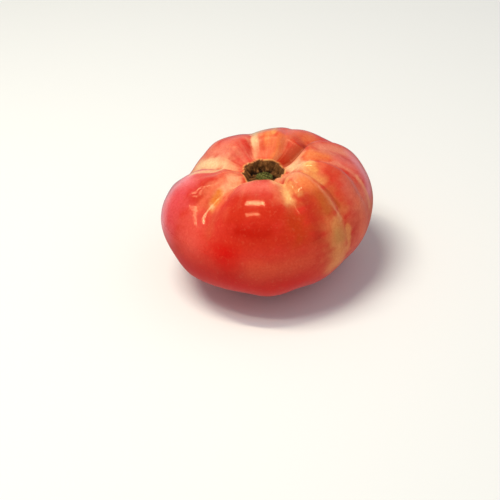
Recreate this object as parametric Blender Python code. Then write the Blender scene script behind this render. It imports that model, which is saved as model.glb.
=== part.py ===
"""A rosa de Barbastro tomato: one whole ripe fruit, broad, low and deeply ribbed, resting on its blossom end.

Metres, +Z up along the core. The origin is under the middle of the fruit, on the surface that it rests on.
Azimuths count in degrees from +X towards +Y. Polar angles count in degrees from the stem end down to the
blossom end.
"""

from typing import NamedTuple

import bmesh
import bpy
import numpy as np

COLLECTION_NAME = "rosa_de_barbastro_tomato"
NODE_NAME = "tomato"

# Driving dimensions of the plain round body
HALF_WIDTH = 0.0563
UPPER_HEIGHT = 0.0362
LOWER_HEIGHT = 0.0378
FULLNESS = 1.01
OVAL = 0.012
THREE_CORNERED = 0.016
THREE_CORNERED_AT = 19.0
LEAN_X = 0.105
LEAN_Y = 0.043
LEAN_STARTS = (0.006, 0.026)
LEAN_RISES = (-0.8, 0.8)
REST_DEPTH = 0.0012

# The hollow around the stem, and the corky scar at its bottom
HOLLOW_DEPTH = 0.0121
HOLLOW_RADIUS = 0.0190
HOLLOW_POWER = 4
SCAR_RADIUS = 0.0104
SCAR_CORNER = 0.0013
SCAR_CORNER_SPREAD = 9.0
SCAR_DEPTH = 0.0030
SCAR_WALL = (0.55, 1.0)

# The dimple of the blossom scar, inside the flat spot
DIMPLE_RADIUS = 0.0070
DIMPLE_DEPTH = 0.0012
DIMPLE_WALL = (0.3, 1.0)
EQUATOR = 90.0


class Lobe(NamedTuple):
    """A swelling: where its top is, how far it stands out of the plain body, and how far it spreads."""

    azimuth: float
    polar: float
    height: float
    azimuth_spread: float
    polar_spread: float


class Furrow(NamedTuple):
    """A furrow from the scar outwards: its course, its depth, the spread of its flanks, and its end."""

    scar_azimuth: float
    shoulder_azimuth: float
    side_azimuth: float
    depth: float
    lower_flank: float
    upper_flank: float
    end: float


LOBES = {
    "left": Lobe(-168, 56, 0.0050, 20, 28),
    "left inner": Lobe(-180, 28, -0.0043, 18, 8),
    "front left": Lobe(-152, 60, 0.0014, 20, 28),
    "front": Lobe(-103, 44, 0.0010, 30, 24),
    "front inner": Lobe(-99, 19, 0.0010, 40, 9),
    "right": Lobe(-18, 52, 0.0012, 14, 28),
    "right back": Lobe(9, 50, -0.0030, 13, 26),
    "back right": Lobe(57, 45, 0.0034, 14, 22),
    "back": Lobe(100, 45, 0.0012, 12, 22),
    "back left": Lobe(132, 47, 0.0038, 18, 22),
    "underside left": Lobe(-144, 118, 0.0026, 16, 18),
    "underside front": Lobe(-99, 124, 0.0019, 16, 20),
    "underside right": Lobe(-69, 118, 0.0013, 22, 22),
}

FURROWS = {
    "right back": Furrow(12, 32, 30, 0.0085, 5, 22, 84),
    "back": Furrow(48, 62, 70, 0.0024, 14, 6, 108),
    "back left": Furrow(107, 98, 100, 0.0026, 9, 9, 104),
    "left back": Furrow(142, 137, 128, 0.0016, 8, 8, 88),
    "left": Furrow(172, 160, 150, 0.0070, 24, 5, 104),
    "front left": Furrow(-140, -141, -129, 0.0056, 12, 13, 78),
    "front right": Furrow(-62, -70, -68, 0.0044, 9, 6, 78),
    "small": Furrow(-50, -60, -62, 0.0010, 3, 6, 70),
    "right front": Furrow(-42, -37, -42, 0.0030, 5, 9, 112),
    "right": Furrow(-26, -13, -20, 0.0032, 4, 12, 108),
}
FURROW_STARTS = (4, 20)
SHOULDER_TURN = (8, 38)
SIDE_TURN = (42, 75)
FURROW_FADES_FROM = 0.45
FURROW_ROUNDING = 0.2
FURROW_POWER = 1.3

# Soft grooves between the ribs of the underside
UNDERSIDE_GROOVES = (-140, -107, -74, -40, -8, 25, 60, 98, 135, 172)
GROOVE_DEPTH = 0.0009
GROOVE_WIDTH = 9
GROOVE_STARTS = (85, 120)
GROOVE_ENDS = (140, 166)

# The mesh: columns around, rows from end to end, and how much the rows crowd towards the stem
COLUMNS = 120
ROWS = 44
ROW_CROWDING = 1.2

SKIN_COLOUR = (0.62, 0.070, 0.040, 1.0)
SKIN_ROUGHNESS = 0.32


def clear_scene():
    for item in list(bpy.data.objects):
        bpy.data.objects.remove(item, do_unlink=True)


def ramp(start, end, value):
    """A smooth rise from 0 at start to 1 at end."""
    share = np.clip((value - start) / (end - start), 0.0, 1.0)
    return share * share * (3.0 - 2.0 * share)


def turn_between(azimuth, centre):
    """How far azimuth lies past centre, from -180 to 180 degrees."""
    return (azimuth - centre + 180.0) % 360.0 - 180.0


def plain_body(polar, azimuth):
    """Points on the plain body, which leans, is hollow at the stem, and has no ribs."""
    up = np.cos(np.radians(polar))
    out = np.sin(np.radians(polar))
    around = np.radians(azimuth)
    corners = THREE_CORNERED * np.cos(3.0 * (around - np.radians(THREE_CORNERED_AT)))
    radius = HALF_WIDTH * (1.0 + OVAL * np.cos(2.0 * around) + corners) * out**FULLNESS
    height = np.where(up > 0.0, UPPER_HEIGHT, LOWER_HEIGHT)
    x = radius * np.cos(around)
    y = radius * np.sin(around)
    z = LOWER_HEIGHT - REST_DEPTH + height * up
    lean = ramp(*LEAN_RISES, up) * ramp(*LEAN_STARTS, radius)
    z = z + (LEAN_X * x + LEAN_Y * y) * lean
    z = z - HOLLOW_DEPTH * np.exp(-((radius / HOLLOW_RADIUS) ** HOLLOW_POWER))
    return np.stack([x, y, z], axis=-1)


def lobe_height(polar, azimuth):
    """How far the lobes stand out of the plain body."""
    total = np.zeros_like(polar)
    for lobe in LOBES.values():
        across = turn_between(azimuth, lobe.azimuth) / lobe.azimuth_spread
        along = (polar - lobe.polar) / lobe.polar_spread
        total += lobe.height * np.exp(-(across**2) - along**2)
    return total


def furrow_depth(polar, azimuth):
    """How far the furrows cut into the plain body."""
    total = np.zeros_like(polar)
    for furrow in FURROWS.values():
        to_shoulder = turn_between(furrow.shoulder_azimuth, furrow.scar_azimuth) * ramp(*SHOULDER_TURN, polar)
        to_side = turn_between(furrow.side_azimuth, furrow.shoulder_azimuth) * ramp(*SIDE_TURN, polar)
        across = turn_between(azimuth, furrow.scar_azimuth + to_shoulder + to_side)
        across = across / np.where(across < 0.0, furrow.lower_flank, furrow.upper_flank)
        rounded = np.hypot(across, FURROW_ROUNDING) - FURROW_ROUNDING
        fade = 1.0 - ramp(FURROW_FADES_FROM * furrow.end, furrow.end, polar)
        total += furrow.depth * ramp(*FURROW_STARTS, polar) * fade * np.exp(-(rounded**FURROW_POWER))
    return total


def groove_depth(polar, azimuth):
    """How far the soft grooves of the underside cut in."""
    total = np.zeros_like(polar)
    for centre in UNDERSIDE_GROOVES:
        total += np.exp(-((turn_between(azimuth, centre) / GROOVE_WIDTH) ** 2))
    return GROOVE_DEPTH * total * ramp(*GROOVE_STARTS, polar) * (1.0 - ramp(*GROOVE_ENDS, polar))


def scar_depth(points, polar, azimuth):
    """How far the corky scar lies below the skin. It has a corner wherever a furrow meets it."""
    edge = np.full_like(polar, SCAR_RADIUS)
    for furrow in FURROWS.values():
        across = turn_between(azimuth, furrow.scar_azimuth) / SCAR_CORNER_SPREAD
        edge += SCAR_CORNER * np.exp(-(across**2))
    radius = np.hypot(points[:, 0], points[:, 1])
    return np.where(polar < EQUATOR, SCAR_DEPTH * (1.0 - ramp(*SCAR_WALL, radius / edge)), 0.0)


def dimple_depth(points, polar):
    """How far the blossom scar lies above the flat spot."""
    radius = np.hypot(points[:, 0], points[:, 1])
    return np.where(polar > EQUATOR, DIMPLE_DEPTH * (1.0 - ramp(*DIMPLE_WALL, radius / DIMPLE_RADIUS)), 0.0)


def make_skin_material():
    material = bpy.data.materials.new("tomato_skin")
    material.use_nodes = True
    shader = material.node_tree.nodes["Principled BSDF"]
    shader.inputs["Base Color"].default_value = SKIN_COLOUR
    shader.inputs["Roughness"].default_value = SKIN_ROUGHNESS
    shader.inputs["Metallic"].default_value = 0.0
    material.diffuse_color = SKIN_COLOUR
    return material


def place(shape, points):
    for vertex, point in zip(shape.verts, points):
        vertex.co = point


def make_tomato():
    """A UV sphere whose points move to the plain body, then along its normals to the lobes and furrows."""
    shape = bmesh.new()
    bmesh.ops.create_uvsphere(shape, u_segments=COLUMNS, v_segments=ROWS, radius=1.0)
    sphere = np.array([vertex.co for vertex in shape.verts])
    azimuth = np.degrees(np.arctan2(sphere[:, 1], sphere[:, 0]))
    polar = 180.0 * (np.arccos(np.clip(sphere[:, 2], -1.0, 1.0)) / np.pi) ** ROW_CROWDING

    place(shape, plain_body(polar, azimuth))
    shape.normal_update()
    body = np.array([vertex.co for vertex in shape.verts])
    normals = np.array([vertex.normal for vertex in shape.verts])
    relief = lobe_height(polar, azimuth) - furrow_depth(polar, azimuth) - groove_depth(polar, azimuth)
    points = body + normals * relief[:, None]
    points[:, 2] -= scar_depth(points, polar, azimuth)
    points[:, 2] = np.maximum(points[:, 2], 0.0)
    points[:, 2] += dimple_depth(points, polar)
    middle = (points.min(axis=0) + points.max(axis=0)) / 2.0
    points[:, :2] -= middle[:2]
    place(shape, points)

    mesh = bpy.data.meshes.new(NODE_NAME)
    shape.to_mesh(mesh)
    shape.free()
    mesh.shade_smooth()
    mesh.materials.append(make_skin_material())
    return bpy.data.objects.new(NODE_NAME, mesh)


clear_scene()
collection = bpy.data.collections.new(COLLECTION_NAME)
bpy.context.scene.collection.children.link(collection)
collection.objects.link(make_tomato())
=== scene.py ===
import ast
import math
from textwrap import dedent

import bpy
from mathutils import Matrix, Vector


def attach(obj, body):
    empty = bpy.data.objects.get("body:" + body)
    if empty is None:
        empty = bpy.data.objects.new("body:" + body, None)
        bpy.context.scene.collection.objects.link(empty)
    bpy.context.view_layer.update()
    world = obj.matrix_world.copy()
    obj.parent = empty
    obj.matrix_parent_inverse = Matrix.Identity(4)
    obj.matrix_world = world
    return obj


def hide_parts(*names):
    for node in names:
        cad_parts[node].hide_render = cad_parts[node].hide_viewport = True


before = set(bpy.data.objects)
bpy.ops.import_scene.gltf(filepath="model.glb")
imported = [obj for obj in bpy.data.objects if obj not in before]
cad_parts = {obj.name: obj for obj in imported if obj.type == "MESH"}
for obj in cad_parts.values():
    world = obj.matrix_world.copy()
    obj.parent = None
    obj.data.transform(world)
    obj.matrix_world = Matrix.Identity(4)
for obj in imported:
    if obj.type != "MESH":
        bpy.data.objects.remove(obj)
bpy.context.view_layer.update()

# The body of the fruit
# One whole ripe beefsteak tomato that grew in one piece: firm flesh in fat lobes under a thin tight skin.
# The furrows between the lobes start at the stem scar, run out over the shoulder and fade down the sides.
# Azimuths count in degrees from +X towards +Y, and polar angles from the stem end to the blossom end.

# The plain round body under the lobes, in metres: how it leans, and its hollow, scar bowl and dimple
BODY_SIZES = {
    "Half Width": 0.0563,
    "Upper Height": 0.0362,
    "Lower Height": 0.0378,
    "Oval": 0.012,
    "Three Cornered": 0.016,
    "Three Cornered At": 19.0,
    "Lean X": 0.105,
    "Lean Y": 0.043,
    "Lean From": 0.006,
    "Lean To": 0.026,
    "Rest Depth": 0.0012,
    "Hollow Depth": 0.0121,
    "Hollow Radius": 0.0190,
    "Scar Radius": 0.0104,
    "Scar Corner": 0.0013,
    "Scar Corner Spread": 12.0,
    "Scar Depth": 0.0066,
    "Dimple Radius": 0.0070,
    "Dimple Depth": 0.0012,
}
LEAN_RISES = {"lean_below": -0.8, "lean_above": 0.8}
BOWLS = {"hollow_power": 4.0, "scar_floor": 0.7, "dimple_floor": 0.3, "equator": 90.0}

# Each lobe: its azimuth and polar angle, its height, and its spread in azimuth and in polar angle. A dent is
# a lobe of negative height.
LOBES = {
    "left": (-168, 56, 0.0050, 20, 28),
    "left inner": (-180, 28, -0.0043, 18, 8),
    "front left": (-152, 60, 0.0014, 20, 28),
    "front": (-103, 44, 0.0010, 30, 24),
    "front inner": (-99, 19, 0.0010, 40, 9),
    "right": (-18, 52, 0.0012, 14, 28),
    "right back": (9, 50, -0.0030, 13, 26),
    "back right": (57, 45, 0.0034, 14, 22),
    "back": (100, 45, 0.0012, 12, 22),
    "back left": (132, 47, 0.0038, 18, 22),
    "underside left": (-144, 118, 0.0026, 16, 18),
    "underside front": (-99, 124, 0.0019, 16, 20),
    "underside right": (-69, 118, 0.0013, 22, 22),
}
SMALL_SWELLINGS = ((-158, 45), (-156, 36), (-61, 38), (-56, 38), (-71, 39))
SMALL_SWELLING = (0.0005, 5, 3.5)
for place in SMALL_SWELLINGS:
    LOBES[f"small swelling at {place[0]}"] = (*place, *SMALL_SWELLING)
UNDERSIDE_GROOVES = (-140, -107, -74, -40, -8, 25, 60, 98, 135, 172)
UNDERSIDE_GROOVE = (128, -0.0009, 9, 26)
for groove_azimuth in UNDERSIDE_GROOVES:
    LOBES[f"underside groove at {groove_azimuth}"] = (groove_azimuth, *UNDERSIDE_GROOVE)

# Each furrow: its azimuth at the scar, on the shoulder and on the side, its depth, the spread of its flanks
# towards lower and towards higher azimuths, and the polar angle where it ends
FURROWS = {
    "right back": (12, 32, 30, 0.0085, 5, 22, 84),
    "back": (48, 62, 70, 0.0024, 14, 6, 108),
    "back left": (107, 98, 100, 0.0026, 9, 9, 104),
    "left back": (142, 137, 128, 0.0016, 8, 8, 88),
    "left": (172, 160, 150, 0.0070, 24, 5, 104),
    "front left": (-140, -141, -129, 0.0056, 12, 13, 78),
    "front right": (-62, -70, -68, 0.0044, 9, 6, 78),
    "small": (-50, -60, -62, 0.0010, 3, 6, 70),
    "right front": (-42, -37, -42, 0.0030, 5, 9, 112),
    "right": (-26, -13, -20, 0.0032, 4, 12, 108),
}
FURROW_SHAPE = {
    "starts": 4.0,
    "full_from": 20.0,
    "shoulder_from": 8.0,
    "shoulder_to": 38.0,
    "side_from": 42.0,
    "side_to": 75.0,
    "fades_from": 0.45,
    "rounding": 0.2,
    "power": 1.3,
}

# The fine relief of the skin: its slight swells and ripples, the calm part of the front lobe, and the
# wrinkles that run into the hollow
FINE_RELIEF = {
    "swell_size": 0.016,
    "swell_height": 0.00008,
    "ripple_size": 0.0075,
    "ripple_height": 0.00007,
    "calm_azimuth": -99.0,
    "calm_spread": 22.0,
    "calm_power": 4.0,
    "wrinkle_size": 0.0045,
    "wrinkle_height": 0.0004,
    "wrinkles_from": 7.0,
    "wrinkles_full": 13.0,
    "wrinkles_wane": 16.0,
    "wrinkles_to": 30.0,
    "course_fall": 0.16,
}

# The mesh: its columns around, its rows from end to end, and how much the rows crowd towards the stem
COLUMNS = 480
ROWS = 180
ROW_CROWDING = 1.25
OPERATIONS = {
    ast.Add: "ADD",
    ast.Sub: "SUBTRACT",
    ast.Mult: "MULTIPLY",
    ast.Div: "DIVIDE",
    ast.Pow: "POWER",
}


def add(tree, kind, inputs=(), **settings):
    """Adds a node with its settings and links. Inputs go by order or by name, and a node stands for its
    first output."""
    made = tree.nodes.new(kind)
    for name, setting in settings.items():
        setattr(made, name, setting)
    if isinstance(inputs, dict):
        pairs = [(made.inputs[name], value) for name, value in inputs.items()]
    else:
        pairs = zip([socket for socket in made.inputs if socket.enabled], inputs)
    for socket, value in pairs:
        if isinstance(value, bpy.types.Node):
            value = next(output for output in value.outputs if output.enabled)
        if isinstance(value, bpy.types.NodeSocket):
            tree.links.new(value, socket)
        elif value is not None:
            socket.default_value = value
    return made


def formulas(tree, names, text):
    """Adds the Math nodes of formulas, one to a line, keeps each result among the names, and gives the last.
    Functions are Math operations, ramp(value, start, end) rises smoothly from 0 at start to 1 at end, and
    noise(place, size) is a soft noise from 0 to 1 with grains of that size."""

    def build(part):
        if isinstance(part, ast.Constant):
            return float(part.value)
        if isinstance(part, ast.Name):
            return names[part.id]
        if isinstance(part, ast.UnaryOp):
            return add(tree, "ShaderNodeMath", (build(part.operand), -1.0), operation="MULTIPLY")
        if isinstance(part, ast.BinOp):
            pair = (build(part.left), build(part.right))
            return add(tree, "ShaderNodeMath", pair, operation=OPERATIONS[type(part.op)])
        values = [build(value) for value in part.args]
        if part.func.id == "ramp":
            return add(tree, "ShaderNodeMapRange", values, interpolation_type="SMOOTHSTEP")
        if part.func.id == "noise":
            scale = add(tree, "ShaderNodeMath", (1.0, values[1]), operation="DIVIDE")
            return add(tree, "ShaderNodeTexNoise", {"Vector": values[0], "Scale": scale})
        return add(tree, "ShaderNodeMath", values, operation=part.func.id.upper())

    for line in ast.parse(dedent(text)).body:
        names[line.targets[0].id] = result = build(line.value)
    return result


def start_tree(name, inputs, outputs):
    """Starts a geometry tree with named inputs and outputs, and gives it with its inputs by name."""
    tree = bpy.data.node_groups.new(name, "GeometryNodeTree")
    for way, sockets in (("INPUT", inputs), ("OUTPUT", outputs)):
        for title, kind in sockets.items():
            tree.interface.new_socket(title, in_out=way, socket_type="NodeSocket" + kind)
    given = tree.nodes.new("NodeGroupInput").outputs
    return tree, {title.lower().replace(" ", "_"): given[title] for title in inputs}


def floats(*titles):
    return dict.fromkeys(titles, "Float")


def spot(tree, names):
    """Adds the x, y and z of the point that a tree works on to the names."""
    names["here"] = add(tree, "GeometryNodeInputPosition").outputs[0]
    parts = add(tree, "ShaderNodeSeparateXYZ", (names["here"],)).outputs
    names.update(x=parts["X"], y=parts["Y"], z=parts["Z"])


def keep_angles(tree, names, shape):
    """Stores the azimuth and the polar angle of each point of a shape, and reads them back from there."""
    for angle in ("azimuth", "polar"):
        inputs = (shape, None, angle, names[angle])
        shape = add(tree, "GeometryNodeStoreNamedAttribute", inputs, data_type="FLOAT")
        names[angle] = add(tree, "GeometryNodeInputNamedAttribute", (angle,), data_type="FLOAT").outputs[0]
    return shape


lobe_tree, names = start_tree(
    "Lobe",
    floats("Azimuth", "Polar", "Lobe Azimuth", "Lobe Polar", "Height", "Azimuth Spread", "Polar Spread"),
    floats("Relief"),
)
relief = formulas(
    lobe_tree,
    names,
    """
    across = wrap(azimuth - lobe_azimuth, 180, -180) / azimuth_spread
    along = (polar - lobe_polar) / polar_spread
    relief = height * exponent(-(across ** 2 + along ** 2))
    """,
)
add(lobe_tree, "NodeGroupOutput", (relief,))

furrow_tree, names = start_tree(
    "Furrow",
    floats("Azimuth", "Polar", "Scar Azimuth", "Shoulder Azimuth", "Side Azimuth", "Depth")
    | floats("Lower Flank", "Upper Flank", "End"),
    floats("Relief"),
)
names |= FURROW_SHAPE
relief = formulas(
    furrow_tree,
    names,
    """
    to_shoulder = wrap(shoulder_azimuth - scar_azimuth, 180, -180) * ramp(polar, shoulder_from, shoulder_to)
    to_side = wrap(side_azimuth - shoulder_azimuth, 180, -180) * ramp(polar, side_from, side_to)
    turn = wrap(azimuth - scar_azimuth - to_shoulder - to_side, 180, -180)
    across = turn / (lower_flank + greater_than(turn, 0) * (upper_flank - lower_flank))
    rounded = sqrt(across ** 2 + rounding ** 2) - rounding
    along = ramp(polar, starts, full_from) * ramp(polar, end, fades_from * end)
    relief = -(depth * (along * exponent(-(rounded ** power))))
    """,
)
add(furrow_tree, "NodeGroupOutput", (relief,))

# The edge of the stem scar bulges where it tore further out, and is flatter between. Each azimuth has its
# share of a full bulge.
SCAR_CORNERS = {
    142: 1.0,
    103: 1.0,
    54: -0.1,
    26: -0.4,
    -16: 0.6,
    -46: 0.8,
    -95: 0.4,
    -145: 0.5,
    -171: 1.0,
}
edge_tree, names = start_tree(
    "Scar Edge", floats("Azimuth", "Scar Radius", "Scar Corner", "Scar Corner Spread"), floats("Edge")
)
names["edge"] = names["scar_radius"]
for corner_azimuth, corner_share in SCAR_CORNERS.items():
    names |= {"corner_azimuth": float(corner_azimuth), "corner_share": corner_share}
    formulas(
        edge_tree,
        names,
        """
        turn = wrap(azimuth - corner_azimuth, 180, -180) / scar_corner_spread
        edge = edge + scar_corner * corner_share * exponent(-(turn ** 2))
        """,
    )
add(edge_tree, "NodeGroupOutput", (names["edge"],))


def follow_edge(tree, names):
    """Adds how far out the edge of the stem scar lies at each azimuth to the names."""
    inputs = [names[part] for part in ("azimuth", "scar_radius", "scar_corner", "scar_corner_spread")]
    names["edge"] = add(tree, "GeometryNodeGroup", inputs, node_tree=edge_tree)


# A place on the fruit as its direction from the middle, and as a course that is fine around the fruit and
# coarse down its sides, so that streaks and wrinkles run along it
course_tree, names = start_tree(
    "Course", floats("Azimuth", "Polar"), {"Direction": "Vector", "Course": "Vector"}
)
names |= FINE_RELIEF
formulas(
    course_tree,
    names,
    """
    east = cosine(radians(azimuth))
    north = sine(radians(azimuth))
    out = sine(radians(polar))
    direction_x = east * out
    direction_y = north * out
    direction_z = cosine(radians(polar))
    fall = radians(polar) * course_fall
    """,
)
direction = add(
    course_tree, "ShaderNodeCombineXYZ", (names["direction_x"], names["direction_y"], names["direction_z"])
)
course = add(course_tree, "ShaderNodeCombineXYZ", (names["east"], names["north"], names["fall"]))
add(course_tree, "NodeGroupOutput", (direction, course))

# The surface as a rule: points that carry the two angles move to the plain body, then along its normals to
# the lobes and furrows, and last down into the bowl of the stem scar and the dimple of the blossom scar
surface_tree, names = start_tree(
    "Fruit Surface", {"Geometry": "Geometry"} | floats(*BODY_SIZES), {"Geometry": "Geometry"}
)
names |= LEAN_RISES | BOWLS | FINE_RELIEF
for angle in ("azimuth", "polar"):
    names[angle] = add(surface_tree, "GeometryNodeInputNamedAttribute", (angle,), data_type="FLOAT")
ways = add(surface_tree, "GeometryNodeGroup", (names["azimuth"], names["polar"]), node_tree=course_tree)
names |= {"direction": ways.outputs["Direction"], "course": ways.outputs["Course"]}
z = formulas(
    surface_tree,
    names,
    """
    around = radians(azimuth)
    up = cosine(radians(polar))
    corners = three_cornered * cosine(3 * radians(azimuth - three_cornered_at))
    radius = half_width * (1 + oval * cosine(2 * around) + corners) * sine(radians(polar))
    x = radius * cosine(around)
    y = radius * sine(around)
    height = lower_height + greater_than(up, 0) * (upper_height - lower_height)
    lean = (lean_x * x + lean_y * y) * ramp(up, lean_below, lean_above) * ramp(radius, lean_from, lean_to)
    hollow = hollow_depth * exponent(-((radius / hollow_radius) ** hollow_power))
    z = lower_height - rest_depth + height * up + lean - hollow
    """,
)
place = add(surface_tree, "ShaderNodeCombineXYZ", (names["x"], names["y"], z))
plain = add(surface_tree, "GeometryNodeSetPosition", (names["geometry"], None, place))

relief = formulas(
    surface_tree,
    names,
    """
    calm = exponent(-((wrap(azimuth - calm_azimuth, 180, -180) / calm_spread) ** calm_power))
    swells = swell_height * (2 * noise(direction, swell_size / half_width) - 1)
    ripples = ripple_height * (2 * noise(direction, ripple_size / half_width) - 1)
    near = ramp(polar, wrinkles_from, wrinkles_full) * ramp(polar, wrinkles_to, wrinkles_wane)
    wrinkles = near * wrinkle_height * (2 * noise(course, wrinkle_size / scar_radius) - 1)
    relief = (1 - calm) * (swells + ripples + wrinkles)
    """,
)
for form_tree, forms in ((lobe_tree, LOBES), (furrow_tree, FURROWS)):
    for name, sizes in forms.items():
        inputs = (names["azimuth"], names["polar"], *sizes)
        form = add(surface_tree, "GeometryNodeGroup", inputs, node_tree=form_tree, label=name)
        relief = add(surface_tree, "ShaderNodeMath", (relief, form), operation="ADD")
normal = add(surface_tree, "GeometryNodeInputNormal")
push = add(surface_tree, "ShaderNodeVectorMath", {"Vector": normal, "Scale": relief}, operation="SCALE")
ribbed = add(surface_tree, "GeometryNodeSetPosition", (plain, None, None, push))

follow_edge(surface_tree, names)
spot(surface_tree, names)
bowl_z = formulas(
    surface_tree,
    names,
    """
    radius = sqrt(x ** 2 + y ** 2)
    bowl = scar_depth * ramp(radius / edge, 1.0, scar_floor) * less_than(polar, equator)
    dimple = dimple_depth * ramp(radius / dimple_radius, 1.0, dimple_floor) * greater_than(polar, equator)
    z = maximum(z - bowl, 0) + dimple
    """,
)
place = add(surface_tree, "ShaderNodeCombineXYZ", (names["x"], names["y"], bowl_z))
sunk = add(surface_tree, "GeometryNodeSetPosition", (ribbed, None, place))
add(surface_tree, "NodeGroupOutput", (sunk,))


def bend_to_fruit(tree, names, shape):
    """Moves a shape whose points carry the two angles onto the surface of the fruit."""
    bent = add(tree, "GeometryNodeGroup", (shape,), node_tree=surface_tree, label="fruit surface")
    for title in BODY_SIZES:
        tree.links.new(names[title.lower().replace(" ", "_")], bent.inputs[title])
    return bent


def finish_tree(tree, shape, material):
    """Ends a tree with a smooth real shape that has its material."""
    smooth = add(tree, "GeometryNodeSetShadeSmooth", (shape,))
    real = add(tree, "GeometryNodeRealizeInstances", (smooth,))
    dressed = add(tree, "GeometryNodeSetMaterial", (real, None, material))
    add(tree, "NodeGroupOutput", (dressed,))


# The colours of ripeness, as soft ragged blushes over a red ground, with some painted light and shade among
# them. Each runs from one place to another, given as azimuth and polar angle, and has its half width in
# degrees, its strength, its edge from soft 2 to firm 3, and its colour. Lobes are red to crimson pink,
# furrows stay gold, and the shaded side stays ochre. Painted are two glints, a pink sheen at the left rim,
# highlights on a ridge and on a furrow's lip, shade in two creases, and darker feet.
RIPENESS_AND_PAINTED_LIGHT = {
    "maroon": "#aa2818",
    "deep red": "#b41002",
    "crimson": "#cc0e08",
    "tomato red": "#c22a14",
    "scarlet": "#ce3224",
    "vermilion": "#de4c32",
    "brick": "#cc4830",
    "rust": "#b23a10",
    # Painted shade for the deep crease, not a skin colour
    "umber": "#9c2200",
    "dusty rose": "#ca604e",
    "rose": "#d44044",
    "warm rose": "#dc5244",
    "pink": "#e26a5a",
    "pale pink": "#f0929c",
    "salmon": "#e48468",
    "coral": "#e66c4a",
    "orange": "#e87c44",
    "sienna": "#c85a32",
    "ochre": "#b85424",
    "tan": "#e08c50",
    "amber": "#e07828",
    "gold": "#eea65a",
    "pale gold": "#f4b874",
    "peach": "#eca074",
    "apricot": "#fab484",
    "cream": "#e8c494",
    "olive": "#a8883e",
}
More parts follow.
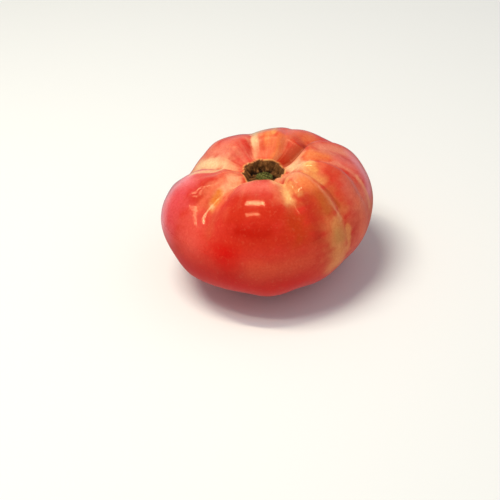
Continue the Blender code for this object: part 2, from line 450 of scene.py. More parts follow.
BLUSHES_AND_PAINTED_LIGHT = {
    # Partly the skin's pale pink and partly a painted sheen that lightens the left rim
    "left lobe pink and painted sheen": ((178, 46), (-168, 74), 10, 0.95, 2, "pale pink"),
    "left lobe rose": ((-166, 52), (-156, 70), 8, 0.85, 2, "rose"),
    "left lobe top": ((-176, 36), (-174, 28), 5, 0.8, 2, "warm rose"),
    "left lobe by the scar": ((-168, 24), (-160, 17), 4, 0.8, 2, "coral"),
    "left lobe crest": ((176, 42), (177, 22), 1.6, 0.75, 2, "cream"),
    "left lobe slope": ((-158, 34), (-154, 44), 4, 0.7, 2, "tomato red"),
    "left lobe crease": ((-152, 34), (-147, 50), 1.8, 0.8, 2, "coral"),
    "left lobe below": ((-150, 60), (-150, 84), 5, 0.5, 2, "tomato red"),
    "left lobe side": ((-144, 58), (-140, 72), 9, 0.75, 2, "warm rose"),
    # Painted shade: the crimson darkens the left foot, partly the skin's deep red and partly shade at the
    # bottom
    "left foot darkened as painted shade": ((-148, 98), (-124, 100), 9, 0.8, 2, "crimson"),
    "left band": ((151, 33), (147, 54), 4.2, 0.95, 3, "cream"),
    "left band middle": ((156, 24), (153, 35), 4.4, 0.9, 2, "cream"),
    "left band below": ((148, 56), (145, 74), 3.5, 0.55, 2, "gold"),
    "left band by the scar": ((158, 16), (153, 27), 3.5, 0.85, 2, "peach"),
    "left band streak": ((157, 20), (152, 34), 1.4, 0.6, 2, "cream"),
    "left band far rim": ((144, 56), (140, 78), 7, 0.6, 2, "peach"),
    "back left lobe by the scar": ((114, 14), (134, 16), 2.6, 0.85, 2, "warm rose"),
    "back left lobe foot": ((116, 20), (134, 22), 3, 0.7, 2, "warm rose"),
    "back left lobe": ((112, 30), (132, 34), 5, 0.85, 2, "pink"),
    "back left lobe rim": ((124, 44), (136, 44), 4, 0.7, 2, "salmon"),
    "back left lobe edge": ((138, 24), (137, 38), 4, 0.8, 2, "salmon"),
    "back left stripe foot": ((101, 15), (99, 22), 2.6, 0.85, 3, "apricot"),
    "back left stripe": ((98, 22), (93, 46), 3.4, 0.9, 3, "cream"),
    "back left stripe below": ((93, 48), (88, 70), 3, 0.55, 2, "peach"),
    "back left stripe fan": ((92, 34), (86, 46), 3.2, 0.85, 2, "cream"),
    "back lobe by the scar": ((92, 14), (68, 18), 3.2, 0.85, 2, "coral"),
    "back lobe": ((80, 21), (80, 28), 3.6, 0.9, 2, "orange"),
    "back lobe rim": ((89, 30), (82, 44), 3.2, 0.8, 2, "peach"),
    "back stripe": ((72, 27), (76, 46), 2.2, 0.9, 3, "gold"),
    "back stripe below": ((77, 48), (79, 60), 2.6, 0.5, 2, "gold"),
    "back right lobe foot": ((60, 13), (60, 26), 2.4, 0.85, 2, "orange"),
    "back right lobe ridge": ((62, 33), (54, 52), 6, 0.85, 2, "pink"),
    "back right lobe side": ((44, 34), (46, 46), 5, 0.6, 2, "orange"),
    # Painted shade: umber darkens the back right lobe's wall in the deep crease where shade falls
    "back right lobe wall": ((34, 12), (35, 32), 4.0, 0.97, 3, "umber"),
    "back right lobe wall top": ((48, 23), (47, 32), 4, 0.85, 2, "brick"),
    "right back lobe wall": ((22, 14), (15, 28), 2.4, 0.8, 2, "rust"),
    "right back lobe edge": ((-2, 14), (2, 21), 3, 0.85, 2, "peach"),
    "right back lobe orange": ((-6, 25), (-4, 38), 5, 0.9, 2, "orange"),
    "right back lobe rose": ((-4, 46), (-4, 58), 6, 0.8, 2, "pink"),
    "right back lobe shoulder": ((11, 34), (12, 58), 5, 0.85, 2, "salmon"),
    "right back lobe rim": ((8, 64), (-10, 78), 7, 0.8, 2, "pale pink"),
    # Painted highlight: the pale salmon and peach line along the right ridge stands for light on its edge
    "painted highlight on the right ridge": ((-13, 34), (-9, 46), 1.5, 0.7, 3, "salmon"),
    "painted highlight on the right ridge middle": ((-9, 46), (-12, 62), 1.5, 0.7, 3, "salmon"),
    "painted highlight on the right ridge end": ((-12, 62), (-17, 86), 1.8, 0.7, 3, "peach"),
    "right lobe by the scar": ((-15, 15), (-27, 27), 3.8, 0.9, 3, "cream"),
    "right lobe cream end": ((-28, 28), (-31, 34), 3, 0.85, 2, "gold"),
    "right lobe shoulder": ((-22, 36), (-30, 38), 3, 0.7, 2, "coral"),
    "right lobe red": ((-22, 44), (-24, 52), 6, 0.85, 2, "brick"),
    "right lobe rose": ((-24, 60), (-28, 74), 9, 0.9, 2, "dusty rose"),
    "right lobe side": ((-27, 74), (-30, 98), 8, 0.8, 2, "coral"),
    "right front slope": ((-36, 28), (-36, 42), 3.4, 0.85, 2, "tan"),
    "right front slope below": ((-38, 50), (-40, 66), 4, 0.85, 2, "sienna"),
    # Painted light and shade: the peach lip is the lit edge of the lobe, and the rust line beside it is
    # shade in the furrow
    "painted light on the right front furrow lip": ((-44, 32), (-45, 72), 1.4, 0.65, 3, "peach"),
    "right front furrow": ((-39, 42), (-40, 64), 1.3, 0.7, 3, "rust"),
    "ochre lobe by the scar": ((-50, 14), (-51, 30), 4.2, 0.85, 2, "peach"),
    "ochre lobe shoulder": ((-51, 34), (-50, 41), 4.8, 0.9, 2, "orange"),
    "ochre lobe": ((-50, 49), (-51, 60), 5.5, 0.95, 2, "ochre"),
    "ochre lobe side": ((-50, 71), (-53, 104), 8, 0.9, 2, "tan"),
    "ochre lobe olive": ((-50, 77), (-50, 84), 4, 0.3, 2, "olive"),
    "pale side stripe": ((-42, 80), (-44, 100), 2.4, 0.45, 3, "gold"),
    "front right lip": ((-76, 20), (-75, 30), 3, 0.85, 3, "apricot"),
    "front right furrow": ((-70, 22), (-72, 41), 3.8, 0.95, 3, "pale gold"),
    "front right furrow ends": ((-73, 44), (-74, 48), 3, 0.8, 2, "sienna"),
    "front right far lip": ((-65, 28), (-61, 40), 2.2, 0.85, 2, "tan"),
    "front right lower lip": ((-68, 44), (-62, 47), 2.6, 0.75, 2, "sienna"),
    "rose band": ((-60, 46), (-63, 72), 4.6, 0.65, 2, "maroon"),
    "front right side": ((-74, 54), (-74, 68), 6, 0.85, 2, "rust"),
    "front left furrow by the scar": ((-118, 20), (-150, 18), 4.4, 0.95, 2, "apricot"),
    "front left furrow": ((-149, 19), (-146, 31), 4.2, 0.9, 2, "apricot"),
    "front left furrow below": ((-145, 32), (-140, 45), 2.6, 0.85, 2, "tan"),
    "front left furrow floor": ((-145, 33), (-142, 41), 1.4, 0.9, 2, "amber"),
    # Painted highlight: a small cream glint in the front left furrow
    "painted glint in the front left furrow": ((-142, 43), (-141, 44), 0.9, 0.7, 2, "cream"),
    "front left far lip": ((-136, 26), (-134, 44), 2.2, 0.8, 2, "coral"),
    "front left furrow ends": ((-134, 47), (-130, 62), 3.2, 0.8, 2, "brick"),
    "front left near lip": ((-154, 24), (-150, 42), 2, 0.8, 2, "coral"),
    # Partly coral skin and partly a painted glint on the front left shoulder
    "front left shoulder with a painted glint": ((-123, 43), (-122, 46), 2.2, 0.4, 2, "coral"),
    "front crest": ((-118, 28), (-84, 29), 5.2, 0.9, 2, "pink"),
    "front upper left": ((-120, 35), (-108, 36), 5, 0.7, 2, "tomato red"),
    "front upper right": ((-79, 30), (-80, 38), 3.6, 0.8, 2, "coral"),
    "front middle": ((-114, 45), (-84, 46), 8, 0.85, 2, "tomato red"),
    "front deep red": ((-110, 56), (-92, 59), 5.5, 0.9, 2, "deep red"),
    "front below": ((-116, 66), (-78, 65), 6, 0.7, 2, "tomato red"),
    # Painted shade: the crimson darkens the front towards the bottom, partly the skin's deep red and partly
    # shade
    "front left crimson darkened as painted shade": ((-116, 72), (-113, 102), 7, 0.95, 2, "crimson"),
    "front side": ((-98, 86), (-72, 88), 9, 0.9, 2, "vermilion"),
    # Painted shade: the crimson darkens the front foot, partly the skin's deep red and partly shade
    "front foot darkened as painted shade": ((-112, 106), (-78, 107), 8, 0.7, 2, "crimson"),
    "back shoulder": ((104, 64), (126, 78), 15, 0.7, 2, "rose"),
    "back gold rib": ((78, 62), (74, 106), 5, 0.5, 2, "gold"),
    "back olive patch": ((44, 84), (52, 104), 14, 0.7, 2, "olive"),
    "back red": ((112, 96), (136, 112), 17, 0.7, 2, "tomato red"),
    "right side ochre": ((-4, 100), (16, 114), 15, 0.65, 2, "tan"),
    "right side red": ((12, 78), (28, 90), 11, 0.6, 2, "brick"),
    "left back red": ((156, 84), (172, 104), 13, 0.6, 2, "tomato red"),
    "left back gold": ((147, 76), (152, 108), 4, 0.5, 2, "gold"),
    "underside pink": ((0, 180), (-100, 172), 22, 0.7, 2, "rose"),
}
# Three noises, each with its grain size and its reach, shift the blushes, and a fourth makes them ragged
BLUSH_DRIFTS = {"patches": (0.25, 0.040), "specks": (0.05, 0.024), "streaks": (0.10, 0.060)}
RAGGEDNESS = {"edge_size": 0.12, "least_ragged": 0.1, "ragged_range": 1.8}


def linear(colour):
    """The linear colour of an sRGB hex colour."""
    parts = [int(colour[start : start + 2], 16) / 255 for start in (1, 3, 5)]
    return (*(part / 12.92 if part <= 0.04045 else ((part + 0.055) / 1.055) ** 2.4 for part in parts), 1.0)


def toward(azimuth, polar):
    """The direction of a place on the fruit that is given by its two angles."""
    around, down = math.radians(azimuth), math.radians(polar)
    return (math.sin(down) * math.cos(around), math.sin(down) * math.sin(around), math.cos(down))


blush_tree, names = start_tree(
    "Blush",
    {"Tint": "Color", "Place": "Vector", "Start": "Vector", "End": "Vector"}
    | floats("Raggedness", "Half Width", "Strength", "Edge")
    | {"Colour": "Color"},
    {"Tint": "Color"},
)
span = add(blush_tree, "ShaderNodeVectorMath", (names["end"], names["start"]), operation="SUBTRACT")
here = add(blush_tree, "ShaderNodeVectorMath", (names["place"], names["start"]), operation="SUBTRACT")
shadow = add(blush_tree, "ShaderNodeVectorMath", (here, span), operation="DOT_PRODUCT")
length = add(blush_tree, "ShaderNodeVectorMath", (span, span), operation="DOT_PRODUCT")
share = add(blush_tree, "ShaderNodeMath", (shadow, length), operation="DIVIDE", use_clamp=True)
reach = add(blush_tree, "ShaderNodeVectorMath", {"Vector": span, "Scale": share}, operation="SCALE")
chord = add(blush_tree, "ShaderNodeVectorMath", (names["start"], reach), operation="ADD")
nearest = add(blush_tree, "ShaderNodeVectorMath", (chord,), operation="NORMALIZE")
apart = add(blush_tree, "ShaderNodeVectorMath", (names["place"], nearest), operation="DISTANCE")
cover = formulas(
    blush_tree,
    names | {"apart": apart},
    "cover = strength * exponent(-((degrees(apart) / (raggedness * half_width)) ** edge))",
)
tint = add(blush_tree, "ShaderNodeMix", (cover, names["tint"], names["colour"]), data_type="RGBA")
add(blush_tree, "NodeGroupOutput", (tint,))

skin_tree, names = start_tree(
    "Tomato Skin",
    {"Columns": "Int", "Rows": "Int", "Row Crowding": "Float", "Skin": "Material"} | floats(*BODY_SIZES),
    {"Geometry": "Geometry"},
)
sphere = add(skin_tree, "GeometryNodeMeshUVSphere", (names["columns"], names["rows"], 1.0))
spot(skin_tree, names)
formulas(
    skin_tree,
    names,
    """
    azimuth = degrees(arctan2(y, x))
    polar = 180 * (arccosine(z) / radians(180)) ** row_crowding
    """,
)
bent = bend_to_fruit(skin_tree, names, keep_angles(skin_tree, names, sphere))

ways = add(skin_tree, "GeometryNodeGroup", (names["azimuth"], names["polar"]), node_tree=course_tree)
place = ways.outputs["Direction"]
for name, (size, drift) in BLUSH_DRIFTS.items():
    course = ways.outputs["Course" if name == "streaks" else "Direction"]
    noise = add(skin_tree, "ShaderNodeTexNoise", {"Vector": course, "Scale": 1 / size})
    centred = add(
        skin_tree, "ShaderNodeVectorMath", (noise.outputs["Color"], (0.5, 0.5, 0.5)), operation="SUBTRACT"
    )
    push = add(skin_tree, "ShaderNodeVectorMath", {"Vector": centred, "Scale": drift}, operation="SCALE")
    place = add(skin_tree, "ShaderNodeVectorMath", (place, push), operation="ADD")
ragged = formulas(
    skin_tree,
    RAGGEDNESS | {"place": ways.outputs["Direction"]},
    "ragged = least_ragged + ragged_range * noise(place, edge_size)",
)
tint = add(skin_tree, "FunctionNodeInputColor", value=linear(RIPENESS_AND_PAINTED_LIGHT["scarlet"]))
for name, (start, end, half_width, strength, firmness, colour) in BLUSHES_AND_PAINTED_LIGHT.items():
    blush = (half_width, strength, firmness, linear(RIPENESS_AND_PAINTED_LIGHT[colour]))
    inputs = (tint, place, toward(*start), toward(*end), ragged, *blush)
    tint = add(skin_tree, "GeometryNodeGroup", inputs, node_tree=blush_tree, label=name)

# Fine streaks, pale and red in turn, run from the scar over the shoulders. Pale gold skin turns over at the
# edge of the scar, and the wall below it is brown.
STREAKS = {
    "streak_size": 0.11,
    "break_size": 0.12,
    "break_strength": 0.4,
    "streaks_full": 14.0,
    "streaks_end": 50.0,
    "pale_strength": 0.13,
    "pale_from": 0.48,
    "pale_full": 0.75,
    "red_strength": 0.16,
    "red_from": 0.50,
    "red_full": 0.25,
}
SCAR_LIP = {"lip_strength": 0.6, "lip_at": 1.01, "lip_width": 0.03, "wall_from": 1.0, "wall_to": 0.96}
follow_edge(skin_tree, names)
names |= {"direction": ways.outputs["Direction"], "course": ways.outputs["Course"]}
names |= BOWLS | STREAKS | SCAR_LIP
formulas(
    skin_tree,
    names,
    """
    past_edge = half_width * sine(radians(polar)) / edge
    top = less_than(polar, equator)
    streaks = noise(course, streak_size) + break_strength * (noise(direction, break_size) - 0.5)
    near = ramp(polar, streaks_end, streaks_full)
    pale = pale_strength * near * ramp(streaks, pale_from, pale_full)
    red = red_strength * near * ramp(streaks, red_from, red_full)
    lip = top * lip_strength * exponent(-(((past_edge - lip_at) / lip_width) ** 2))
    wall = top * ramp(past_edge, wall_from, wall_to)
    """,
)
overlays = {"pale": RIPENESS_AND_PAINTED_LIGHT["cream"], "red": RIPENESS_AND_PAINTED_LIGHT["scarlet"], "lip": "#e8b868", "wall": "#4a2a14"}
for share, colour in overlays.items():
    tint = add(skin_tree, "ShaderNodeMix", (names[share], tint, linear(colour)), data_type="RGBA")
inputs = (bent, None, "tint", tint)
tinted = add(skin_tree, "GeometryNodeStoreNamedAttribute", inputs, data_type="FLOAT_COLOR")
finish_tree(skin_tree, tinted, names["skin"])


def grow(name, tree, inputs):
    """Makes a plain mesh object of a geometry tree with these values of its inputs."""
    piece = bpy.data.objects.new(name, bpy.data.meshes.new(name))
    bpy.context.scene.collection.objects.link(piece)
    growth = piece.modifiers.new(name, "NODES")
    growth.node_group = tree
    for item in tree.interface.items_tree:
        if item.in_out == "INPUT" and item.name in inputs:
            growth[item.identifier] = inputs[item.name]
    depsgraph = bpy.context.evaluated_depsgraph_get()
    mesh = bpy.data.meshes.new_from_object(
        piece.evaluated_get(depsgraph), preserve_all_data_layers=True, depsgraph=depsgraph
    )
    piece.modifiers.remove(growth)
    piece.data = mesh
    return piece


# Ripe tomato skin is a tough clear cuticle with a thin coat of wax, over flesh that lets light in a little.
# It shows soft mottling, faint pale specks, sharp lamps, and a pink bloom towards its edges. It is duller
# around the scar. The real grain is a few tenths of a millimetre, and it is drawn 1 mm wide to show at all.
MOTTLING = {
    "patch_size": 0.0065,
    "patch_contrast": 0.25,
    "grain_size": 0.0011,
    "grain_contrast": 0.6,
    "red_part": 0.35,
    "green_blue_part": 1.2,
    "fleck_size": 0.0018,
    "fleck_from": 0.55,
    "fleck_full": 0.75,
    "fleck_strength": 0.06,
    "fleck_gain": 0.6,
    "flecked_to": 52.0,
    "flecked_from": 26.0,
}
GLOSS = {
    "shine": 0.09,
    "dullness": 0.36,
    "dull_within": 14.0,
    "shiny_beyond": 32.0,
    "dull_below": 0.36,
    "below_from": 58.0,
    "below_full": 90.0,
    "uneven": 0.06,
}
GRAIN_BUMP = {"Distance": 0.00002, "Strength": 0.5}
WAXY_SKIN = {
    "IOR": 1.45,
    "Specular IOR Level": 0.22,
    "Specular Tint": linear("#ffdcb4"),
    "Sheen Weight": 0.12,
    "Sheen Roughness": 0.4,
    "Sheen Tint": linear("#ffb4bc"),
    "Subsurface Weight": 0.12,
    "Subsurface Radius": (1.0, 0.3, 0.1),
    "Subsurface Scale": 0.003,
}


def start_material(name, finish):
    """Starts a material with its shader set to a finish, and gives it with its tree and its shader."""
    material = bpy.data.materials.new(name)
    material.use_nodes = True
    shader = material.node_tree.nodes["Principled BSDF"]
    for title, value in finish.items():
        shader.inputs[title].default_value = value
    return material, material.node_tree, shader


skin, nodes, shader = start_material("waxy ripe tomato skin", WAXY_SKIN)
painted = add(nodes, "ShaderNodeAttribute", attribute_name="tint")
angle = add(nodes, "ShaderNodeAttribute", attribute_name="polar")
names = {"place": add(nodes, "ShaderNodeTexCoord").outputs["Object"], "polar": angle.outputs["Fac"]}
names |= MOTTLING | GLOSS
formulas(
    nodes,
    names,
    """
    grain = noise(place, grain_size)
    patches = patch_contrast * (noise(place, patch_size) - 0.5)
    mottles = patches + grain_contrast * (grain - 0.5)
    red_tone = 1 + red_part * mottles
    tone = 1 + green_blue_part * mottles
    most_flecks = fleck_strength * (1 + fleck_gain * ramp(polar, flecked_to, flecked_from))
    flecks = most_flecks * ramp(noise(place, fleck_size), fleck_from, fleck_full)
    near = ramp(polar, shiny_beyond, dull_within)
    below = dull_below * ramp(polar, below_from, below_full)
    roughness = shine + dullness * near + below + uneven * (grain - 0.5)
    """,
)
tones = add(nodes, "ShaderNodeCombineXYZ", (names["red_tone"], names["tone"], names["tone"]))
toned = add(nodes, "ShaderNodeVectorMath", (painted.outputs["Color"], tones), operation="MULTIPLY")
flecked = add(
    nodes, "ShaderNodeMix", (names["flecks"], toned, linear(RIPENESS_AND_PAINTED_LIGHT["peach"])), data_type="RGBA"
)
grainy = add(nodes, "ShaderNodeBump", {"Height": names["grain"]} | GRAIN_BUMP)
nodes.links.new(flecked.outputs["Result"], shader.inputs["Base Color"])
nodes.links.new(names["roughness"].outputs[0], shader.inputs["Roughness"])
nodes.links.new(grainy.outputs["Normal"], shader.inputs["Normal"])

grid = {"Columns": COLUMNS, "Rows": ROWS, "Row Crowding": ROW_CROWDING}
tomato = grow("tomato_skin_and_flesh", skin_tree, BODY_SIZES | grid | {"Skin": skin})
corners = [Vector(corner) for corner in tomato.bound_box]
middle = sum(corners, Vector()) / len(corners)
to_centre = Matrix.Translation((-middle.x, -middle.y, 0.0))
tomato.data.transform(to_centre)
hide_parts("tomato")
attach(tomato, "root")

# The corky scars
# Where the stalk broke off, and where the blossom dried, the fruit closed its skin with rough brown cork.
# The stem scar is a torn bowl with a green core, and the blossom scar is a small flat star underneath. Each
# is a thin closed crust in a bowl of the skin.
SCAR_COLUMNS = 240
SCAR_ROWS = 72

# Side is 1 at the stem and -1 at the blossom, and Reach is the crust's share of the stem scar's width. Its
# Scar Depth is less than the skin's, so that the crust lies in the bowl.
SCARS = {
    "stem_scar": {
        "Side": 1.0,
        "Reach": 0.99,
        "Thickness": 0.0012,
        "Stand": 0.0002,
        "Scar Depth": 0.0042,
        "Core Rise": 0.0003,
        "Pit Depth": 0.0022,
        "Lump Height": 0.0020,
        "Fibre Height": 0.0005,
        "Tuck": 0.0006,
        "Green": 0.8,
    },
    "blossom_scar": {
        "Side": -1.0,
        "Reach": 0.36,
        "Thickness": 0.0006,
        "Stand": 0.0002,
        "Scar Depth": 0.0042,
        "Core Rise": 0.0001,
        "Pit Depth": 0.0001,
        "Lump Height": 0.0002,
        "Fibre Height": 0.0003,
        "Tuck": 0.0003,
        "Green": 0.0,
    },
}
CORK_GRAIN = {
    "hidden_below": -0.001,
    "lump_size": 0.0020,
    "pit_size": 0.0035,
    "fibre_size": 0.16,
    "strand_size": 0.0009,
    "strand_least": 0.5,
    "strand_range": 3.0,
    "core_from": 0.55,
    "core_full": 0.30,
    "pits_at": 0.58,
    "pits_spread": 0.16,
    "pit_from": 0.42,
    "pit_full": 0.60,
    "torn_from": 0.30,
    "torn_full": 0.70,
    "tucks_from": 0.88,
}
# The tones of the cork, and its painted shade: the low parts of the crust and the gaps between its strands
# darken to near black
CORK_TONES_AND_PAINTED_SHADE = {
    "gaps_from": 0.47,
    "gaps_full": 0.36,
    "gap_strength": 0.8,
    "sunk_from": 0.0003,
    "sunk_full": -0.0010,
    "pale_from": 0.45,
    "pale_full": 0.7,
    "green_least": 0.2,
    "green_range": 1.4,
    "green_from": 0.35,
    "green_full": 0.7,
    "pith_from": 0.54,
    "pith_full": 0.66,
}
# The near-black pit colour is painted shade in the low parts and gaps
CORK_COLOURS_AND_PAINTED_SHADE = {"pit": "#180a04", "wood": "#5e3a1a", "torn": "#84552c", "core": "#4a5222", "pith": "#7c7a40"}

cork_tree, names = start_tree(
    "Corky Scar",
    {"Columns": "Int", "Rows": "Int", "Cork": "Material"} | floats(*(BODY_SIZES | SCARS["stem_scar"])),
    {"Geometry": "Geometry"},
)
names |= CORK_GRAIN | CORK_TONES_AND_PAINTED_SHADE
sphere = add(cork_tree, "GeometryNodeMeshUVSphere", (names["columns"], names["rows"], 1.0))
spot(cork_tree, names)
formulas(
    cork_tree,
    names,
    """
    azimuth = degrees(arctan2(y, x))
    share = degrees(arccosine(z * side)) / 90
    hidden = less_than(z * side, hidden_below)
    """,
)
follow_edge(cork_tree, names)
formulas(
    cork_tree,
    names,
    "polar = 90 - 90 * side + side * share * reach * degrees(arcsine(edge / half_width))",
)
inputs = (sphere, None, "share", names["share"])
shape = add(cork_tree, "GeometryNodeStoreNamedAttribute", inputs, data_type="FLOAT")
shape = keep_angles(cork_tree, names, shape)
names["share"] = add(cork_tree, "GeometryNodeInputNamedAttribute", ("share",), data_type="FLOAT").outputs[0]
cut = add(cork_tree, "GeometryNodeDeleteGeometry", (shape, names["hidden"]), domain="POINT")
bent = bend_to_fruit(cork_tree, names, cut)
formulas(
    cork_tree,
    names,
    """
    ray_x = cosine(radians(azimuth))
    ray_y = sine(radians(azimuth))
    """,
)
names["rays"] = add(cork_tree, "ShaderNodeCombineXYZ", (names["ray_x"], names["ray_y"], names["share"]))
spot(cork_tree, names)
formulas(
    cork_tree,
    names,
    # Painted shade: the gaps between the strands and the low parts of the crust take the near-black pit
    # colour
    """
    lumps = noise(here, lump_size)
    fibres = noise(rays, fibre_size)
    strands = noise(here, strand_size)
    core = ramp(share, core_from, core_full)
    torn = ramp(share, torn_from, torn_full)
    pitted = exponent(-(((share - pits_at) / pits_spread) ** 2))
    pits = pitted * ramp(noise(here, pit_size), pit_from, pit_full)
    raised = core_rise * core * (strand_least + strand_range * strands) + lump_height * (lumps - 0.5)
    frayed = fibre_height * (fibres - 0.5) * torn
    rise = stand + raised - pit_depth * pits + frayed - tuck * ramp(share, tucks_from, 1)
    gaps = core * ramp(strands, gaps_from, gaps_full)
    sunk = maximum(ramp(rise, sunk_from, sunk_full), gap_strength * gaps)
    paler = torn * ramp(fibres, pale_from, pale_full)
    greener = green * ramp(core * (green_least + green_range * lumps), green_from, green_full)
    pithy = green * core * ramp(strands, pith_from, pith_full)
    """,
)
normal = add(cork_tree, "GeometryNodeInputNormal")
push = add(cork_tree, "ShaderNodeVectorMath", {"Vector": normal, "Scale": names["rise"]}, operation="SCALE")
tint = add(cork_tree, "FunctionNodeInputColor", value=linear(CORK_COLOURS_AND_PAINTED_SHADE["wood"]))
# Last comes the painted shade of the sunk parts and gaps
for share, colour in (("paler", "torn"), ("greener", "core"), ("pithy", "pith"), ("sunk", "pit")):
    inputs = (names[share], tint, linear(CORK_COLOURS_AND_PAINTED_SHADE[colour]))
    tint = add(cork_tree, "ShaderNodeMix", inputs, data_type="RGBA")
inputs = (bent, None, "tint", tint)
tinted = add(cork_tree, "GeometryNodeStoreNamedAttribute", inputs, data_type="FLOAT_COLOR")
rough = add(cork_tree, "GeometryNodeSetPosition", (tinted, None, None, push))

# The face that shows becomes a closed body: a copy of it goes in by the thickness, and walls join the two
WELD_DISTANCE = 1e-7
inward = add(cork_tree, "ShaderNodeMath", (names["side"], names["thickness"]), operation="MULTIPLY")
inward = add(cork_tree, "ShaderNodeCombineXYZ", (0.0, 0.0, inward))
drop = add(cork_tree, "ShaderNodeVectorMath", {"Vector": inward, "Scale": -1.0}, operation="SCALE")
deep = add(cork_tree, "GeometryNodeExtrudeMesh", (rough, None, drop, 1.0, False), mode="FACES")
turned = add(cork_tree, "GeometryNodeFlipFaces", (deep,))
both = add(cork_tree, "GeometryNodeJoinGeometry")
for part in (turned, rough):
    cork_tree.links.new(part.outputs[0], both.inputs[0])
closed = add(cork_tree, "GeometryNodeMergeByDistance", {"Geometry": both, "Distance": WELD_DISTANCE})
finish_tree(cork_tree, closed, names["cork"])

# Dried cork is dead plant tissue full of air: brown, dull and crumbly, with no shine at all. Its crumbs are
# about half a millimetre wide.
CRUMBS = {"crumb_size": 0.0005, "darkest": 0.5}
CRUMB_BUMP = {"Distance": 0.0004, "Strength": 0.7}
DULL_CORK = {"Roughness": 0.9, "Specular IOR Level": 0.2}
cork, nodes, shader = start_material("dried corky scar tissue", DULL_CORK)
painted = add(nodes, "ShaderNodeAttribute", attribute_name="tint")
names = CRUMBS | {"place": add(nodes, "ShaderNodeTexCoord").outputs["Object"]}
formulas(
    nodes,
    names,
    """
    crumbs = noise(place, crumb_size)
    tone = darkest + crumbs
    """,
)
inputs = {"Vector": painted.outputs["Color"], "Scale": names["tone"]}
toned = add(nodes, "ShaderNodeVectorMath", inputs, operation="SCALE")
crumbly = add(nodes, "ShaderNodeBump", {"Height": names["crumbs"]} | CRUMB_BUMP)
nodes.links.new(toned.outputs[0], shader.inputs["Base Color"])
nodes.links.new(crumbly.outputs["Normal"], shader.inputs["Normal"])

grid = {"Columns": SCAR_COLUMNS, "Rows": SCAR_ROWS}
for name, sizes in SCARS.items():
    scar = grow(name, cork_tree, BODY_SIZES | sizes | grid | {"Cork": cork})
    scar.data.transform(to_centre)
    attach(scar, "root")

# The floor
# A plain pale sheet of matt paper, laid flat, far larger than what the camera sees. The skin doesn't mirror
# it: seen at a slant it would lay a whitish veil over the fruit's edge.
FLOOR_SIZE = 4.0
PAPER = {"Base Color": linear("#e9e9e9"), "Roughness": 0.9}
paper = start_material("matt white paper", PAPER)[0]
bpy.ops.mesh.primitive_plane_add(size=FLOOR_SIZE)
floor = bpy.context.object
floor.name = "floor"
floor.data.materials.append(paper)
floor.visible_glossy = False

# The light
# A white studio all round, with weak tube lamps overhead that the skin mirrors: a far row of three lengths
# in a shallow bow, and a near one. Three soft panels are cross-polarised, as studios do it for shiny goods,
# so the skin doesn't mirror them.
ROOM_STRENGTH = 0.34
ROOM_COLOUR = (0.92, 0.96, 1.0, 1.0)
TUBE_COLOUR = (1.0, 0.92, 0.66)
PANEL_COLOUR = (0.96, 0.99, 1.10)
# Each lamp: its place, the place it points to, its length and width, its turn in degrees, its power, and
# whether the skin mirrors it
LAMPS = {
    "far tube left": ((-0.455, 0.106, 1.0), (-0.455, 0.106, 0.0), (0.20, 0.056), -30.0, 1.6, True),
    "far tube middle": ((-0.28, 0.020, 1.0), (-0.28, 0.020, 0.0), (0.20, 0.056), -22.0, 1.9, True),
    "far tube right": ((-0.091, -0.036, 1.0), (-0.091, -0.036, 0.0), (0.20, 0.056), -12.0, 1.9, True),
    "near tube": ((-0.36, -0.20, 1.0), (-0.36, -0.20, 0.0), (0.38, 0.06), -21.0, 1.7, True),
    "soft panel": ((-0.30, -0.05, 1.0), (0.0, 0.0, 0.0), (0.5, 0.5), 0.0, 3.8, False),
    "side panel": ((1.3, -0.3, 0.9), (0.0, 0.0, 0.0), (2.0, 2.0), 0.0, 3.7, False),
    "front panel": ((0.0, -1.6, 0.6), (0.0, 0.0, 0.0), (2.0, 1.2), 0.0, 2.0, False),
}
world = bpy.data.worlds.new("white studio")
bpy.context.scene.world = world
world.use_nodes = True
room = world.node_tree.nodes["Background"]
room.inputs["Color"].default_value = ROOM_COLOUR
room.inputs["Strength"].default_value = ROOM_STRENGTH
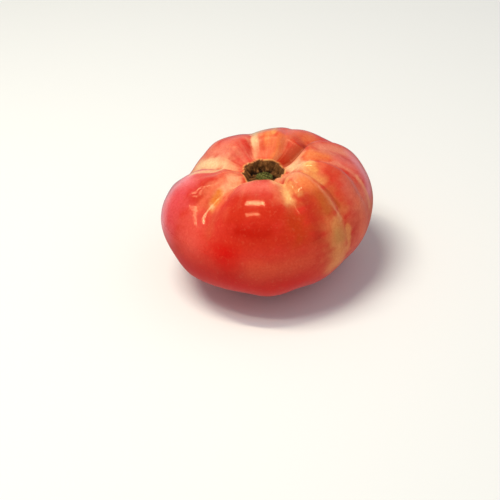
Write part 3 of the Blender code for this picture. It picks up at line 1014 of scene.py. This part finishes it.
for name, (position, target, (length, width), turn, power, mirrors) in LAMPS.items():
    light = bpy.data.lights.new(name, "AREA")
    light.shape = "RECTANGLE"
    light.size = length
    light.size_y = width
    light.energy = power
    light.color = TUBE_COLOUR if mirrors else PANEL_COLOUR
    lamp = bpy.data.objects.new(name, light)
    lamp.location = position
    facing = (Vector(target) - Vector(position)).to_track_quat("-Z", "Y").to_matrix()
    lamp.rotation_euler = (facing @ Matrix.Rotation(math.radians(turn), 3, "Z")).to_euler()
    lamp.visible_glossy = mirrors
    bpy.context.scene.collection.objects.link(lamp)
bpy.context.scene.view_settings.view_transform = "Standard"

# The camera
# It looks down on the fruit at 34 degrees and is rolled by 6 degrees. The fruit stands up and right of the
# middle of the picture, as in the photo.
CAMERA_ELEVATION = math.radians(34.0)
CAMERA_ROLL = math.radians(6.0)
CAMERA_DISTANCE = 0.650
TARGET = Vector((-0.00025, 0.0, 0.03507))
PHOTO_WIDTH = 500
FRUIT_WIDTH_IN_PHOTO = 212.7
FRUIT_WIDTH = 0.115
FRUIT_RIGHT_OF_MIDDLE = 17.0
FRUIT_ABOVE_MIDDLE = 38.5
SENSOR_WIDTH_MM = 36.0
NEAREST_SEEN = 0.01
pixel = FRUIT_WIDTH / FRUIT_WIDTH_IN_PHOTO
back = Vector((0.0, -math.cos(CAMERA_ELEVATION), math.sin(CAMERA_ELEVATION)))
level = Matrix.Rotation(-CAMERA_ROLL, 3, back) @ Vector((1.0, 0.0, 0.0))
upward = back.cross(level)
eye = TARGET + back * CAMERA_DISTANCE
aim = TARGET - level * (FRUIT_RIGHT_OF_MIDDLE * pixel) - upward * (FRUIT_ABOVE_MIDDLE * pixel)
backward = (eye - aim).normalized()
sideways = upward.cross(backward).normalized()
camera = bpy.data.cameras.new("camera")
camera.sensor_width = SENSOR_WIDTH_MM
camera.lens = camera.sensor_width * CAMERA_DISTANCE / (pixel * PHOTO_WIDTH)
camera.clip_start = NEAREST_SEEN
viewer = bpy.data.objects.new("camera", camera)
axes = Matrix((sideways, backward.cross(sideways), backward)).transposed()
viewer.matrix_world = Matrix.Translation(eye) @ axes.to_4x4()
bpy.context.scene.collection.objects.link(viewer)
bpy.context.scene.camera = viewer
